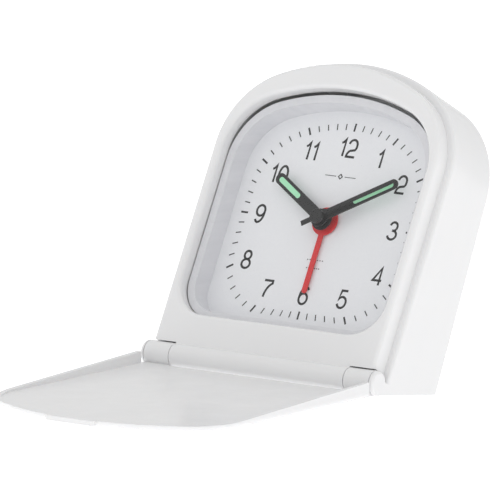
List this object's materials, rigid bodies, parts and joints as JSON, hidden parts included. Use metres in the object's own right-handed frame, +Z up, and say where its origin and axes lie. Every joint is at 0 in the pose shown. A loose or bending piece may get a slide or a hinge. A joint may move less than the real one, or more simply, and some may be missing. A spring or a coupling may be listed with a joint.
{
  "type": "travel alarm clock",
  "caption": "Folding travel alarm clock with an arched case, hands over a numbered dial, and a flip-down lid that is its stand.",
  "frame": {"origin": "centre of the footprint, on the surface the clock stands on, with the lid open as its stand", "axes": "+Z up, -Y towards the viewer and the lid's tip, +X to the viewer's right along the hinge"},
  "size_m": [0.066, 0.1222, 0.0722],
  "materials": {
    "case_plastic": "gloss moulded ABS",
    "clear_plastic": "clear polystyrene",
    "ring_plastic": "translucent grey moulding",
    "dial_paint": "satin silver-white paint",
    "steel": "bright zinc plate",
    "nickel": "nickel plate",
    "battery_sleeve": "printed sleeve, plain",
    "frame_plastic": "natural moulding",
    "gear_plastic": "natural acetal",
    "board": "green solder mask",
    "epoxy": "black epoxy",
    "copper": "enamelled copper wire",
    "buzzer_case": "black moulding",
    "black_paint": "satin black paint",
    "green_lume": "matt luminous paint",
    "red_paint": "satin red paint"
  },
  "bodies": {
    "case": {"front_housing": "case_plastic", "rear_housing": "case_plastic", "crystal": "clear_plastic", "dial_ring": "ring_plastic", "dial_plate": "dial_paint", "hinge_pins": "steel", "housing_screws": "steel", "movement_screws": "steel", "battery": "battery_sleeve", "battery_contact_plus": "nickel", "battery_contact_minus": "nickel", "movement_plate": "frame_plastic", "movement_cover": "frame_plastic", "circuit_board": "board", "clock_chip": "epoxy", "quartz_can": "steel", "coil_bobbin": "frame_plastic", "coil_winding": "copper", "stator": "steel", "alarm_contact_leaf": "nickel", "buzzer": "buzzer_case"},
    "lid": {"lid": "case_plastic"},
    "battery_door": {"battery_door": "case_plastic"},
    "alarm_slide": {"alarm_switch": "case_plastic"},
    "minute": {"minute_arbor": "gear_plastic", "minute_hand": "black_paint", "minute_hand_lume": "green_lume"},
    "motion": {"motion_wheel": "gear_plastic"},
    "hour": {"hour_wheel": "gear_plastic", "hour_hand": "black_paint", "hour_hand_lume": "green_lume"},
    "time_knob": {"time_set_knob": "case_plastic"},
    "alarm": {"alarm_wheel": "gear_plastic", "alarm_hand": "red_paint"},
    "alarm_knob": {"alarm_set_knob": "case_plastic"},
    "seconds": {"seconds_wheel": "gear_plastic", "second_hand": "black_paint"},
    "intermediate": {"intermediate_wheel": "gear_plastic"},
    "rotor": {"rotor": "gear_plastic"},
    "third": {"third_wheel": "gear_plastic"},
    "centre": {"centre_wheel": "gear_plastic"}
  },
  "joints": [
    {"name": "lid_hinge", "type": "hinge", "parent": "case", "child": "lid", "pos_m": [0, 0.01147, 0.00524], "axis": [1, 0, 0], "range_deg": [-117.7, 0]},
    {"name": "battery_door_slide", "type": "slide", "parent": "case", "child": "battery_door", "axis": [0, -0.3838, -0.9234], "range_m": [0, 0.012]},
    {"name": "alarm_switch_slide", "type": "slide", "parent": "case", "child": "alarm_slide", "axis": [0, 0.4347, 0.9006], "range_m": [0, 0.003]},
    {"name": "minute_turn", "type": "hinge", "parent": "case", "child": "minute", "pos_m": [0, 0.03483, 0.03649], "axis": [0, 0.9006, -0.4347], "continuous": true},
    {"name": "motion_turn", "type": "hinge", "parent": "case", "child": "motion", "pos_m": [0.00509, 0.03704, 0.04107], "axis": [0, 0.9006, -0.4347], "continuous": true},
    {"name": "hour_turn", "type": "hinge", "parent": "case", "child": "hour", "pos_m": [0, 0.03483, 0.03649], "axis": [0, 0.9006, -0.4347], "continuous": true},
    {"name": "time_knob_turn", "type": "hinge", "parent": "case", "child": "time_knob", "pos_m": [0.01229, 0.03704, 0.04107], "axis": [0, 0.9006, -0.4347], "continuous": true},
    {"name": "alarm_turn", "type": "hinge", "parent": "case", "child": "alarm", "pos_m": [0, 0.03483, 0.03649], "axis": [0, 0.9006, -0.4347], "continuous": true},
    {"name": "alarm_knob_turn", "type": "hinge", "parent": "case", "child": "alarm_knob", "pos_m": [-0.00737, 0.03593, 0.03878], "axis": [0, 0.9006, -0.4347], "continuous": true},
    {"name": "seconds_turn", "type": "hinge", "parent": "case", "child": "seconds", "pos_m": [0, 0.03483, 0.03649], "axis": [0, 0.9006, -0.4347], "continuous": true},
    {"name": "intermediate_turn", "type": "hinge", "parent": "case", "child": "intermediate", "pos_m": [0.0052, 0.03352, 0.03379], "axis": [0, 0.9006, -0.4347], "continuous": true},
    {"name": "rotor_turn", "type": "hinge", "parent": "case", "child": "rotor", "pos_m": [0.01046, 0.03269, 0.03206], "axis": [0, 0.9006, -0.4347], "continuous": true},
    {"name": "third_turn", "type": "hinge", "parent": "case", "child": "third", "pos_m": [-0.00233, 0.03205, 0.03073], "axis": [0, 0.9006, -0.4347], "continuous": true},
    {"name": "centre_turn", "type": "hinge", "parent": "case", "child": "centre", "pos_m": [0, 0.03483, 0.03649], "axis": [0, 0.9006, -0.4347], "continuous": true}
  ],
  "couplings": [
    {"joint": "motion_turn", "follows": "minute_turn", "ratio": -0.33333},
    {"joint": "hour_turn", "follows": "minute_turn", "ratio": 0.083333},
    {"joint": "time_knob_turn", "follows": "minute_turn", "ratio": 1},
    {"joint": "alarm_knob_turn", "follows": "alarm_turn", "ratio": -3.3333},
    {"joint": "intermediate_turn", "follows": "seconds_turn", "ratio": -5},
    {"joint": "rotor_turn", "follows": "seconds_turn", "ratio": 30},
    {"joint": "third_turn", "follows": "seconds_turn", "ratio": -0.13333},
    {"joint": "centre_turn", "follows": "seconds_turn", "ratio": 0.016667}
  ]
}
